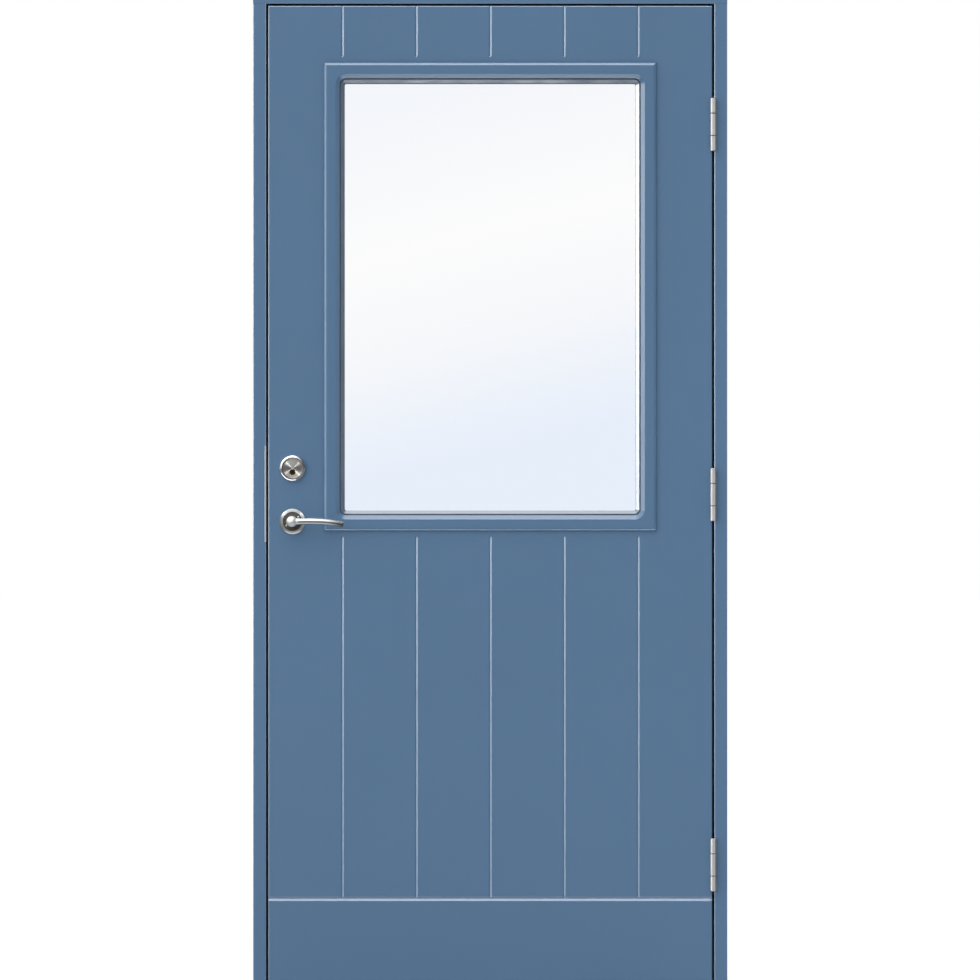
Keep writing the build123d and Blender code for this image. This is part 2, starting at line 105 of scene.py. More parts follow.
class Graph:
    """Adds shader nodes to one node tree and links them."""

    def __init__(self, owner: bpy.types.Material | bpy.types.World) -> None:
        """Takes over the node tree of a material or a world.

        Args:
            owner: The material or world.
        """
        owner.use_nodes = True
        self.owner = owner
        self.tree = owner.node_tree
        self.tree.nodes.clear()

    @classmethod
    def for_material(cls, name: str) -> "Graph":
        """A graph in a new material of that name."""
        return cls(bpy.data.materials.new(name))

    def add(self, kind: str, feeds: Feeds | None = None, **options: object) -> bpy.types.Node:
        """Adds a node.

        Args:
            kind: Blender's name for the node's type.
            feeds: A value or another node's output for each named input.
            **options: Properties to set on the node first.

        Returns:
            The new node.
        """
        node = self.tree.nodes.new(kind)
        for key, value in options.items():
            setattr(node, key, value)
        for key, value in (feeds or {}).items():
            if isinstance(value, bpy.types.NodeSocket):
                self.tree.links.new(value, node.inputs[key])
            else:
                node.inputs[key].default_value = value
        return node

    def coords(self, scale: Point = (1.0, 1.0, 1.0)) -> bpy.types.NodeSocket:
        """Places on the part in metres, scaled for a texture.

        Args:
            scale: Factor for X, Y and Z.

        Returns:
            The scaled vector.
        """
        source = self.add("ShaderNodeTexCoord").outputs["Object"]
        return self.add("ShaderNodeMapping", {"Vector": source, "Scale": scale}).outputs[0]

    def noise(self, vector: Feed, scale: float, detail: float = 2.0) -> bpy.types.NodeSocket:
        """Soft random values from 0 to 1.

        Args:
            vector: Where to read the texture.
            scale: Blotches per unit.
            detail: Octaves of finer noise.

        Returns:
            The noise value.
        """
        feeds = {"Vector": vector, "Scale": scale, "Detail": detail}
        return self.add("ShaderNodeTexNoise", feeds).outputs[0]

    def remap(self, value: Feed, span: Span, to: Span) -> bpy.types.NodeSocket:
        """A value carried from one range to another, clamped.

        Args:
            value: The value to carry.
            span: The range that it comes from.
            to: The range that it goes to.

        Returns:
            The carried value.
        """
        feeds = {
            "Value": value,
            "From Min": span[0],
            "From Max": span[1],
            "To Min": to[0],
            "To Max": to[1],
        }
        return self.add("ShaderNodeMapRange", feeds).outputs[0]

    def math(self, operation: str, *values: Feed) -> bpy.types.NodeSocket:
        """One sum of up to three values.

        Args:
            operation: Blender's name for the sum.
            *values: The values, in order.

        Returns:
            The result.
        """
        return self.add("ShaderNodeMath", dict(enumerate(values)), operation=operation).outputs[0]

    def vector(self, operation: str, *values: Feed) -> bpy.types.NodeSocket:
        """One sum of up to two vectors.

        Args:
            operation: Blender's name for the sum.
            *values: The vectors, in order.

        Returns:
            The result: a number for a length or a dot product, else a vector.
        """
        outputs = self.add("ShaderNodeVectorMath", dict(enumerate(values)), operation=operation).outputs
        return outputs["Value" if operation in ("DOT_PRODUCT", "LENGTH") else "Vector"]

    def from_axis(self, offset: Feed, axis: Run) -> bpy.types.NodeSocket:
        """How far places lie from an axis.

        Args:
            offset: The places, as seen from a point on the axis.
            axis: The axis's direction.

        Returns:
            The distance in metres.
        """
        flat = tuple(1.0 - share for share in axis.value)
        return self.vector("LENGTH", self.vector("MULTIPLY", offset, flat))

    def blend(self, factor: Feed, first: Feed, second: Feed) -> bpy.types.NodeSocket:
        """A colour between two others.

        Args:
            factor: 0 gives the first colour and 1 the second.
            first: The first colour.
            second: The second colour.

        Returns:
            The mixed colour.
        """
        first = first if isinstance(first, bpy.types.NodeSocket) else (*first, 1.0)
        second = second if isinstance(second, bpy.types.NodeSocket) else (*second, 1.0)
        mix = self.add("ShaderNodeMix", {0: factor, 6: first, 7: second}, data_type="RGBA")
        return mix.outputs[2]

    def shades(self, colour: Colour, factor: Feed, shift: float) -> bpy.types.NodeSocket:
        """A colour that wanders a little darker and lighter.

        Args:
            colour: The middle colour.
            factor: 0 for the darkest and 1 for the lightest.
            shift: The share by which the ends differ from the middle.

        Returns:
            The varied colour.
        """
        dark = tuple(channel * (1.0 - shift) for channel in colour)
        light = tuple(min(1.0, channel * (1.0 + shift)) for channel in colour)
        return self.blend(factor, dark, light)

    def grey(self, value: Feed) -> bpy.types.NodeSocket:
        """A grey of one value."""
        return self.add("ShaderNodeCombineXYZ", {"X": value, "Y": value, "Z": value}).outputs[0]

    def bump(self, height: Feed, depth: float, normal: Feed | None = None) -> bpy.types.NodeSocket:
        """A normal tilted by a height texture.

        Args:
            height: Height from 0 to 1.
            depth: How deep a height of 1 is, in metres.
            normal: A normal to tilt further.

        Returns:
            The tilted normal.
        """
        feeds = {"Height": height, "Distance": depth, "Strength": 1.0}
        if normal is not None:
            feeds["Normal"] = normal
        return self.add("ShaderNodeBump", feeds).outputs[0]

    def surface(self, feeds: Feeds) -> bpy.types.Material:
        """Ends the material in one principled surface.

        Args:
            feeds: Its inputs.

        Returns:
            The finished material.
        """
        shader = self.add("ShaderNodeBsdfPrincipled", feeds)
        self.add("ShaderNodeOutputMaterial", {"Surface": shader.outputs[0]})
        return self.owner


@dataclass(frozen=True)
class PaintFinish:
    """Satin paint over board or timber, the grain just telling through it."""

    name: str
    colour: Colour
    run: Run
    roughness: float = 0.24
    shift: float = 0.03
    grain_depth: float = 0.000014
    peel_depth: float = 0.000004
    tone_scale: float = 2.1
    fleck_scale: float = 160.0
    fleck_share: float = 0.25
    grain_scales: Span = (5.0, 260.0)
    peel_scale: float = 700.0
    sheen_scale: float = 24.0
    sheen_shift: Span = (-0.03, 0.03)
    ior: float = 1.5

    def material(self) -> bpy.types.Material:
        """The paint as a material."""
        graph = Graph.for_material(self.name)
        place = graph.coords()
        tone = graph.noise(place, self.tone_scale, 4.0)
        fleck = graph.noise(place, self.fleck_scale, 2.0)
        factor = graph.math("MULTIPLY_ADD", fleck, self.fleck_share, -self.fleck_share / 2)
        factor = graph.math("ADD", graph.remap(tone, NOISE_SPAN, UNIT), factor)
        grain = graph.noise(graph.coords(self.run.stretch(*self.grain_scales)), 1.0, 3.0)
        peel = graph.noise(place, self.peel_scale, 1.0)
        normal = graph.bump(grain, self.grain_depth)
        sheen = graph.remap(graph.noise(place, self.sheen_scale, 3.0), (0.2, 0.8), self.sheen_shift)
        return graph.surface({
            "Base Color": graph.shades(self.colour, factor, self.shift),
            "Roughness": graph.math("ADD", sheen, self.roughness),
            "IOR": self.ior,
            "Normal": graph.bump(peel, self.peel_depth, normal),
        })


@dataclass(frozen=True)
class MetalFinish:
    """Metal with polishing lines along one direction."""

    name: str
    colour: Colour
    run: Run
    roughness: float = 0.25
    shift: float = 0.08
    line_depth: float = 0.000004
    anisotropy: float = 0.3
    line_scales: Span = (14.0, 1600.0)
    cloud_scale: float = 45.0
    rough_shares: Span = (0.75, 1.3)
    smear_shift: Span = (-0.03, 0.03)

    def material(self) -> bpy.types.Material:
        """The metal as a material."""
        graph = Graph.for_material(self.name)
        lines = graph.noise(graph.coords(self.run.stretch(*self.line_scales)), 1.0, 3.0)
        cloud = graph.noise(graph.coords(), self.cloud_scale, 3.0)
        smooth, coarse = (self.roughness * share for share in self.rough_shares)
        rough = graph.remap(lines, NOISE_SPAN, (smooth, coarse))
        smear = graph.remap(cloud, (0.3, 0.7), self.smear_shift)
        return graph.surface({
            "Base Color": graph.shades(self.colour, lines, self.shift),
            "Metallic": 1.0,
            "Roughness": graph.math("ADD", rough, smear),
            "Anisotropic": self.anisotropy,
            "Normal": graph.bump(lines, self.line_depth),
        })


@dataclass(frozen=True)
class TurnedFinish:
    """Metal turned on a lathe: fine rings about one axis."""

    name: str
    colour: Colour
    centre: Point
    axis: Run
    roughness: float = 0.22
    shift: float = 0.10
    rings_per_metre: float = 2400.0
    line_depth: float = 0.000012
    anisotropy: float = 0.85
    rough_shares: Span = (0.85, 1.15)

    def material(self) -> bpy.types.Material:
        """The turned metal as a material."""
        graph = Graph.for_material(self.name)
        offset = graph.vector("SUBTRACT", graph.coords(), self.centre)
        along = graph.vector("DOT_PRODUCT", offset, self.axis.value)
        path = graph.math("ADD", graph.from_axis(offset, self.axis), along)
        count = graph.math("MULTIPLY", path, self.rings_per_metre)
        spread = graph.add("ShaderNodeCombineXYZ", {"X": count})
        rings = graph.noise(spread.outputs[0], 1.0, 2.0)
        letter = "XYZ"[self.axis.value.index(1.0)]
        around = graph.add("ShaderNodeTangent", direction_type="RADIAL", axis=letter).outputs[0]
        smooth, coarse = (self.roughness * share for share in self.rough_shares)
        return graph.surface({
            "Base Color": graph.shades(self.colour, rings, self.shift),
            "Metallic": 1.0,
            "Roughness": graph.remap(rings, (0.2, 0.8), (smooth, coarse)),
            "Anisotropic": self.anisotropy,
            "Anisotropic Rotation": QUARTER_TURN,
            "Tangent": around,
            "Normal": graph.bump(rings, self.line_depth),
        })


@dataclass(frozen=True)
class LeverFinish:
    """Lever steel: satin on the boss about the spindle, polished along the arm, with a painted highlight
    on the boss and painted shade towards the tip.
    """

    name: str
    colour: Colour
    spindle: Point
    satin: float = 0.55
    polish: float = 0.12
    boss: Span = (0.010, 0.018)
    boss_highlight_gain: float = 1.35
    tip: Span = (0.076, 0.100)
    tip_shade_gain: float = 0.32
    shift: float = 0.05
    line_scales: Span = (14.0, 1600.0)
    line_depth: float = 0.000003
    smear_shift: Span = (-0.03, 0.03)

    def material(self) -> bpy.types.Material:
        """The lever's steel as a material."""
        graph = Graph.for_material(self.name)
        offset = graph.vector("SUBTRACT", graph.coords(), self.spindle)
        away = graph.from_axis(offset, Run.DEPTH)
        lines = graph.noise(graph.coords(Run.LEVEL.stretch(*self.line_scales)), 1.0, 3.0)
        rough = graph.remap(away, self.boss, (self.satin, self.polish))
        smear = graph.remap(lines, NOISE_SPAN, self.smear_shift)
        # painted highlight: the colour is raised about the boss; painted shade: the colour falls towards
        # the tip
        painted_boss_highlight = graph.remap(away, self.boss, (self.boss_highlight_gain, 1.0))
        painted_tip_shade = graph.remap(away, self.tip, (1.0, self.tip_shade_gain))
        share = graph.grey(graph.math("MULTIPLY", painted_boss_highlight, painted_tip_shade))
        steel = graph.shades(self.colour, lines, self.shift)
        return graph.surface({
            "Base Color": graph.vector("MULTIPLY", steel, share),
            "Metallic": 1.0,
            "Roughness": graph.math("ADD", rough, smear),
            "Normal": graph.bump(lines, self.line_depth),
        })


@dataclass(frozen=True)
class RubberFinish:
    """Rubber seal or gasket with a faint skin texture."""

    name: str
    colour: Colour
    roughness: float = 0.55
    skin_depth: float = 0.00003
    gloss: float = 0.5
    shift: float = 0.12
    cloud_scale: float = 18.0
    skin_scale: float = 1300.0
    rough_shift: float = 0.06

    def material(self) -> bpy.types.Material:
        """The rubber as a material."""
        graph = Graph.for_material(self.name)
        place = graph.coords()
        cloud = graph.noise(place, self.cloud_scale, 3.0)
        skin = graph.noise(place, self.skin_scale, 2.0)
        smooth, coarse = self.roughness - self.rough_shift, self.roughness + self.rough_shift
        return graph.surface({
            "Base Color": graph.shades(self.colour, cloud, self.shift),
            "Roughness": graph.remap(cloud, (0.3, 0.7), (smooth, coarse)),
            "Specular IOR Level": self.gloss,
            "Normal": graph.bump(skin, self.skin_depth),
        })


@dataclass(frozen=True)
class GlassFinish:
    """Clear float glass whose colour carries a painted sky reflection, cooler towards its foot, on a
    slant.
    """

    name: str
    foot: Colour
    belly: Colour
    clear: Colour
    top: Colour
    heights: tuple[float, float, float, float]
    reflection_slant: float = 0.25
    ior: float = 1.45
    wave_scale: float = 3.0
    wave_depth: float = 0.00002

    def material(self) -> bpy.types.Material:
        """The glass as a material."""
        graph = Graph.for_material(self.name)
        place = graph.add("ShaderNodeSeparateXYZ", {0: graph.coords()}).outputs
        level = graph.math("SUBTRACT", place["Z"], graph.math("MULTIPLY", place["X"], self.reflection_slant))
        # painted reflection: the colour blends from the foot's cool tint through clear to the top's tint
        sky_reflection_tints = (self.foot, self.belly, self.clear, self.top)
        colour = self.foot
        for index, tint in enumerate(sky_reflection_tints[1:]):
            share = graph.remap(level, self.heights[index:index + 2], UNIT)
            colour = graph.blend(share, colour, tint)
        wave = graph.noise(graph.coords(), self.wave_scale, 1.0)
        return graph.surface({
            "Base Color": colour,
            "Roughness": 0.0,
            "IOR": self.ior,
            "Transmission Weight": 1.0,
            "Normal": graph.bump(wave, self.wave_depth),
        })


@dataclass(frozen=True)
class OakFinish:
    """Oiled hardwood with its grain along one direction."""

    name: str
    light: Colour
    dark: Colour
    run: Run
    ring_scales: Span = (1.2, 55.0)
    ring_span: Span = (0.35, 0.65)
    pore_scales: Span = (25.0, 900.0)
    pore_span: Span = (0.58, 0.72)
    pore_strength: float = 0.6
    pore_shade: float = 0.55
    pore_depth: float = 0.00008
    roughness: Span = (0.42, 0.56)

    def material(self) -> bpy.types.Material:
        """The wood as a material."""
        graph = Graph.for_material(self.name)
        rings = graph.noise(graph.coords(self.run.stretch(*self.ring_scales)), 1.0, 5.0)
        pores = graph.noise(graph.coords(self.run.stretch(*self.pore_scales)), 1.0, 2.0)
        body = graph.blend(graph.remap(rings, self.ring_span, UNIT), self.light, self.dark)
        shade = tuple(channel * self.pore_shade for channel in self.dark)
        open_pores = graph.remap(pores, self.pore_span, (0.0, self.pore_strength))
        return graph.surface({
            "Base Color": graph.blend(open_pores, body, shade),
            "Roughness": graph.remap(rings, (0.3, 0.7), self.roughness),
            "Normal": graph.bump(pores, self.pore_depth),
        })


def dress(names: list[str], finish: bpy.types.Material) -> None:
    """Gives CAD nodes a finish.

    Args:
        names: The nodes' names.
        finish: The material that they share.
    """
    for name in names:
        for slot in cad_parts[name].material_slots:
            slot.material = finish
        LOG.info("dressed %s in %s", name, finish.name)


@dataclass
class ScrewHeads:
    """A group of cross-recessed screw heads that sit on one body."""

    CROWN: ClassVar[list[Span]] = [(1.0, 0.35), (0.93, 0.62), (0.80, 0.84), (0.66, 0.96)]

    name: str
    body: str
    slot: str
    radius: float
    height: float
    sides: int = 28
    sunk: float = 0.0003
    cross_arm: float = 0.52
    cross_half: float = 0.13
    cross_taper: float = 0.8
    cross_floor: float = 0.35
    first_turn: float = 0.7
    turn_step: float = 1.3

    def _outline(self) -> list[Span]:
        """The head's profile from the foot to the crown as (radius, height)."""
        profile = [(self.radius, -self.sunk)]
        profile += [(self.radius * out, self.height * up) for out, up in self.CROWN]
        return profile

    def _cross(self, height: float, scale: float) -> list[Point]:
        """The corners of the driver's cross at one height.

        Args:
            height: How high they lie above the seat.
            scale: The cross's size there, as a share of its mouth.

        Returns:
            The corners in order.
        """
        arm = self.cross_arm * self.radius * scale
        half = self.cross_half * self.radius * scale
        quarter = [(arm, -half), (arm, half), (half, half)]
        corners = []
        for turn in range(4):
            spin = Matrix.Rotation(turn * math.pi / 2, 2)
            corners += [(*(spin @ Vector(corner)), height) for corner in quarter]
        return corners

    def _head(self, mesh: bmesh.types.BMesh, place: Matrix) -> None:
        """Adds one head to a mesh.

        Args:
            mesh: The mesh to add to.
            place: Where the head sits; it stands along the place's Z.
        """
        loops = []
        for out, up in self._outline():
            angles = [2 * math.pi * step / self.sides for step in range(self.sides)]
            ring = [place @ Vector((out * math.cos(a), out * math.sin(a), up)) for a in angles]
            loops.append([mesh.verts.new(point) for point in ring])
        mouth, floor = (1.0, self.height), (self.cross_taper, self.height * self.cross_floor)
        for scale, up in (mouth, floor):
            loops.append([mesh.verts.new(place @ Vector(point)) for point in self._cross(up, scale)])
        for lower, upper in zip(loops, loops[1:]):
            if len(lower) == len(upper):
                count = len(lower)
                for i in range(count):
                    j = (i + 1) % count
                    mesh.faces.new((lower[i], lower[j], upper[j], upper[i]))
            else:
                self._crown(mesh, lower, upper)
        mesh.faces.new(loops[0][::-1])
        mesh.faces.new(loops[-1])

    @staticmethod
    def _crown(mesh: bmesh.types.BMesh, ring: Verts, cross: Verts) -> None:
        """Fills the crown between the round edge and the cross.

        Args:
            mesh: The mesh to add to.
            ring: Vertices of the round edge.
            cross: Vertices of the cross's mouth.
        """
        edges = []
        for loop in (ring, cross):
            for first, second in zip(loop, loop[1:] + loop[:1]):
                edges.append(mesh.edges.get((first, second)) or mesh.edges.new((first, second)))
        bmesh.ops.triangle_fill(mesh, edges=edges, use_beauty=True)

    def build(self, seats: list[tuple[Vector, Vector]], material: bpy.types.Material) -> bpy.types.Object:
        """Makes the screws as one piece.

        Args:
            seats: For each screw the point under its head and the way that it looks.
            material: The screws' metal.

        Returns:
            The piece, riding on its body.
        """
        mesh = bmesh.new()
        for index, (point, out) in enumerate(seats):
            turn = Matrix.Rotation(self.first_turn + self.turn_step * index, 4, "Z")
            tilt = out.to_track_quat("Z", "Y").to_matrix().to_4x4()
            self._head(mesh, Matrix.Translation(point) @ tilt @ turn)
        bmesh.ops.recalc_face_normals(mesh, faces=mesh.faces)
        data = bpy.data.meshes.new(self.name)
        mesh.to_mesh(data)
        mesh.free()
        data.materials.append(material)
        piece = bpy.data.objects.new(self.name, data)
        bpy.context.scene.collection.objects.link(piece)
        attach(piece, self.body)
        LOG.info("built %s with %d heads", self.name, len(seats))
        return piece


class Assembly:
    """A part of the door that gets its finishes and, where it has them, its screws."""

    def dress(self) -> None:
        """Gives the nodes their finishes."""
        raise NotImplementedError

    def build(self, steel: bpy.types.Material) -> None:
        """Adds the screws in this metal; an assembly without screws adds none."""


@dataclass
class DoorFrame(Assembly):
    """The fixed frame: head, jambs, threshold, seals and the strike plate."""

    PAINTED: ClassVar[list[str]] = ["lock_jamb", "hinge_jamb", "frame_head"]

    paint: Colour
    strike_screw_inset: float = 0.013
    cap_screw_depth: float = 0.030
    cap_screw_inset: float = 0.120
    cap_screws: int = 4
    cap_fall: float = 0.004

    def dress(self) -> None:
        """Paints the timber and finishes the threshold, seals and strike."""
        upright = PaintFinish("jamb_paint", self.paint, Run.UPRIGHT).material()
        level = PaintFinish("head_paint", self.paint, Run.LEVEL).material()
        dress(["lock_jamb", "hinge_jamb"], upright)
        dress(["frame_head"], level)
        oak = OakFinish("oiled_oak", (0.30, 0.17, 0.085), (0.17, 0.088, 0.04), Run.LEVEL)
        dress(["threshold"], oak.material())
        cap = MetalFinish("threshold_aluminium", (0.62, 0.63, 0.64), Run.LEVEL, roughness=0.34)
        dress(["threshold_cap"], cap.material())
        seals = ["head_seal", "lock_side_seal", "hinge_side_seal", "threshold_seal"]
        dress(seals, RubberFinish("black_rubber", (0.020, 0.020, 0.022)).material())
        steel = MetalFinish("strike_steel", (0.70, 0.75, 0.78), Run.UPRIGHT, roughness=0.52)
        dress(["strike_plate"], steel.material())

    def build(self, steel: bpy.types.Material) -> None:
        """Adds the screws of the strike plate and of the threshold's cap.

        Args:
            steel: The screws' metal.
        """
        low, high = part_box("strike_plate")
        middle = (low.y + high.y) / 2
        inset = self.strike_screw_inset
        heights = (low.z + inset, (low.z + high.z) / 2, high.z - inset)
        seats = [(Vector((high.x, middle, z)), Vector((1, 0, 0))) for z in heights]
        ScrewHeads("strike_screws", "frame", "lock_steel", 3.6 * MM, 0.5 * MM).build(seats, steel)
        low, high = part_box("threshold_cap")
        slope = self.cap_fall / (high.y - low.y)
        rise = high.z - slope * (high.y - low.y - self.cap_screw_depth)
        out = Vector((0, -slope, 1)).normalized()
        seats = []
        for index in range(self.cap_screws):
            share = index / (self.cap_screws - 1)
            x = low.x + self.cap_screw_inset + share * (high.x - low.x - 2 * self.cap_screw_inset)
            seats.append((Vector((x, low.y + self.cap_screw_depth, rise)), out))
        heads = ScrewHeads("threshold_screws", "frame", "threshold_aluminium", 4.0 * MM, 0.6 * MM)
        heads.build(seats, steel)


@dataclass
class DoorLeaf(Assembly):
    """The swinging leaf: two grooved skins over a timber core."""

    PAINTED: ClassVar[list[str]] = ["outside_skin", "inside_skin", "lock_stile", "hinge_stile",
                                    "top_rail", "bottom_rail"]

    paint: Colour

    def dress(self) -> None:
        """Paints the skins and the edges of the core."""
        upright = PaintFinish("leaf_paint", self.paint, Run.UPRIGHT).material()
        level = PaintFinish("rail_paint", self.paint, Run.LEVEL).material()
        dress(["outside_skin", "inside_skin", "lock_stile", "hinge_stile"], upright)
        dress(["top_rail", "bottom_rail"], level)


@dataclass
class Window(Assembly):
    """The double glazing with its mouldings and gaskets."""

    PAINTED: ClassVar[list[str]] = ["outside_glazing_frame", "inside_glazing_frame"]
    GASKETS: ClassVar[list[str]] = ["outside_gasket", "inside_gasket"]

    paint: Colour

    def dress(self) -> None:
        """Finishes the mouldings, gaskets, panes and spacer."""
        moulding = PaintFinish("moulding_paint", self.paint, Run.UPRIGHT, roughness=0.22).material()
        dress(self.PAINTED, moulding)
        gasket = RubberFinish("grey_gasket", (0.115, 0.16, 0.225), 0.20, 0.00001, 1.0).material()
        dress(self.GASKETS, gasket)
        # the glass colours are a painted sky reflection, cool at the foot and clear higher up
        sky_reflection_tints = ((0.905, 0.940, 0.995), (0.972, 0.979, 0.993), (1.0, 1.0, 1.0), (0.963, 0.974, 0.993))
        glass = GlassFinish("clear_glass", *sky_reflection_tints, heights=(1.13, 1.38, 1.59, 1.90))
        dress(["outer_pane", "inner_pane"], glass.material())
        for name in ("outer_pane", "inner_pane"):
            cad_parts[name].visible_shadow = False
        spacer = MetalFinish("spacer_aluminium", (0.55, 0.56, 0.57), Run.UPRIGHT, roughness=0.4)
        dress(["glass_spacer"], spacer.material())


@dataclass
class Hinges(Assembly):
    """Three knuckle hinges with their plates let into leaf and jamb."""

    HALVES: ClassVar[list[str]] = [f"{place.value}_hinge_{half}" for place in Place
                                   for half in ("frame_half", "leaf_half")]

    gap: float = 0.005
    row_inset: float = 0.013
    rows: Span = (0.0215, 0.0085)
    screws: int = 4

    def dress(self) -> None:
        """Gives the hinges their satin steel."""
        low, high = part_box("upper_hinge_pin")
        centre = (low + high) / 2
        steel = TurnedFinish("hinge_steel", (0.68, 0.665, 0.65), centre, Run.UPRIGHT, roughness=0.45,
                             shift=0.03, rings_per_metre=900.0, line_depth=0.000002, anisotropy=0.8)
        dress(self.HALVES, steel.material())
        # painted shade: the pins are darkened so the joints between the knuckles read dark
        dark = MetalFinish("pin_steel_painted_shade", (0.06, 0.058, 0.056), Run.UPRIGHT, roughness=0.40)
        dress([f"{place.value}_hinge_pin" for place in Place], dark.material())

    def build(self, steel: bpy.types.Material) -> None:
        """Adds the screws in every plate, in a zigzag.

        Args:
            steel: The screws' metal.
        """
        for place in Place:
            for half, body, way in (("frame_half", "frame", 1.0), ("leaf_half", "leaf", -1.0)):
                low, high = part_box(f"{place.value}_hinge_{half}")
                x = (low.x + high.x) / 2 + way * self.gap / 2
                inner = high.z - low.z - 2 * self.row_inset
                seats = []
                for index in range(self.screws):
                    z = low.z + self.row_inset + inner * index / (self.screws - 1)
                    y = high.y - self.rows[index % 2]
                    seats.append((Vector((x, y, z)), Vector((-way, 0, 0))))
                name = f"{place.value}_hinge_{half}_screws"
                ScrewHeads(name, body, "hinge_steel", 4.0 * MM, 0.5 * MM).build(seats, steel)


@dataclass
class Lock(Assembly):
    """The lock's forend, bolts, cylinder and thumb-turn."""

    POLISHED: ClassVar[list[str]] = ["cylinder_ring", "cylinder_face", "turn_rose", "thumb_turn"]

    bevel: float = 0.0015
    screw_inset: float = 0.011

    def dress(self) -> None:
        """Finishes the forend, the cylinder and the thumb-turn."""
        plain = MetalFinish("forend_steel", (0.58, 0.59, 0.60), Run.UPRIGHT, roughness=0.30).material()
        dress(["lock_forend", "latch_bolt", "dead_bolt"], plain)
        low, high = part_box("cylinder_ring")
        centre = (low + high) / 2
        face = TurnedFinish("turned_face", (0.74, 0.73, 0.71), centre, Run.DEPTH,
                            roughness=0.42, anisotropy=0.97)
        dress(["cylinder_face"], face.material())
        ring = TurnedFinish("polished_ring", (0.78, 0.775, 0.76), centre, Run.DEPTH,
                            roughness=0.10, shift=0.03, line_depth=0.000001, anisotropy=0.3)
        dress(["cylinder_ring"], ring.material())
        turn = MetalFinish("turn_steel", (0.64, 0.635, 0.62), Run.UPRIGHT, roughness=0.22).material()
        dress(["turn_rose", "thumb_turn"], turn)
        # brass colour, darkened as painted shade inside the keyhole
        shaded_brass = MetalFinish("plug_brass", (0.10, 0.065, 0.02), Run.UPRIGHT, roughness=0.30)
        dress(["key_plug"], shaded_brass.material())

    def build(self, steel: bpy.types.Material) -> None:
        """Adds the two screws of the forend.

        Args:
            steel: The screws' metal.
        """
        low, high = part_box("lock_forend")
        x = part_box("outside_skin")[0].x + self.bevel
        middle = (low.y + high.y) / 2
        heights = (low.z + self.screw_inset, high.z - self.screw_inset)
        seats = [(Vector((x, middle, z)), Vector((-1, 0, 0))) for z in heights]
        ScrewHeads("forend_screws", "leaf", "lock_steel", 3.4 * MM, 0.4 * MM).build(seats, steel)


@dataclass
class Handle(Assembly):
    """The levers on one spindle, with their roses."""

    POLISHED: ClassVar[list[str]] = ["outside_rose", "inside_rose"]
    LEVERS: ClassVar[list[str]] = ["outside_lever", "inside_lever"]

    screw_ring: float = 0.0153
    screw_turn: float = math.radians(36.0)
    floor: float = 0.004

    def dress(self) -> None:
        """Finishes the levers, roses and spindle."""
        low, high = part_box("outside_rose")
        centre = (low + high) / 2
        lever = LeverFinish("lever_steel", (0.68, 0.68, 0.66), centre)
        dress([*self.LEVERS, "spindle"], lever.material())
        rose = TurnedFinish("rose_steel", (0.76, 0.765, 0.76), centre, Run.DEPTH,
                            roughness=0.42, shift=0.04, line_depth=0.000001, anisotropy=0.9)
        dress(self.POLISHED, rose.material())
        plate = TurnedFinish("rose_plate_grey", (0.13, 0.124, 0.112), centre, Run.DEPTH,
                             roughness=0.42, anisotropy=0.3)
        dress(["outside_rose_plate", "inside_rose_plate"], plate.material())

    def build(self, steel: bpy.types.Material) -> None:
        """Adds the two screws in each rose.

        Args:
            steel: The screws' metal.
        """
        for side in Side:
            low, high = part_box(f"{side.label}_rose")
            seat_y = (high.y if side is Side.OUTSIDE else low.y) + side.value * self.floor
            middle = Vector(((low.x + high.x) / 2, seat_y, (low.z + high.z) / 2))
            arm = Vector((math.cos(self.screw_turn), 0, math.sin(self.screw_turn))) * self.screw_ring
            seats = [(middle + arm, side.out), (middle - arm, side.out)]
            name = f"{side.label}_rose_screws"
            ScrewHeads(name, "leaf", "handle_steel", 2.6 * MM, 1.6 * MM).build(seats, steel)


class Gloss(Enum):
    """Groups of pieces that share the white cards which show in their gloss."""

    TIMBER = DoorFrame.PAINTED + DoorLeaf.PAINTED
    FRAME = DoorFrame.PAINTED
    WINDOW = Window.PAINTED
    GASKET = Window.GASKETS
    HINGE = Hinges.HALVES
    METAL = Lock.POLISHED + Handle.POLISHED
    RING = ["cylinder_ring", "turn_rose"]
    FACE = ["cylinder_face"]
    ROSE = Handle.POLISHED
    LEVER = Handle.LEVERS


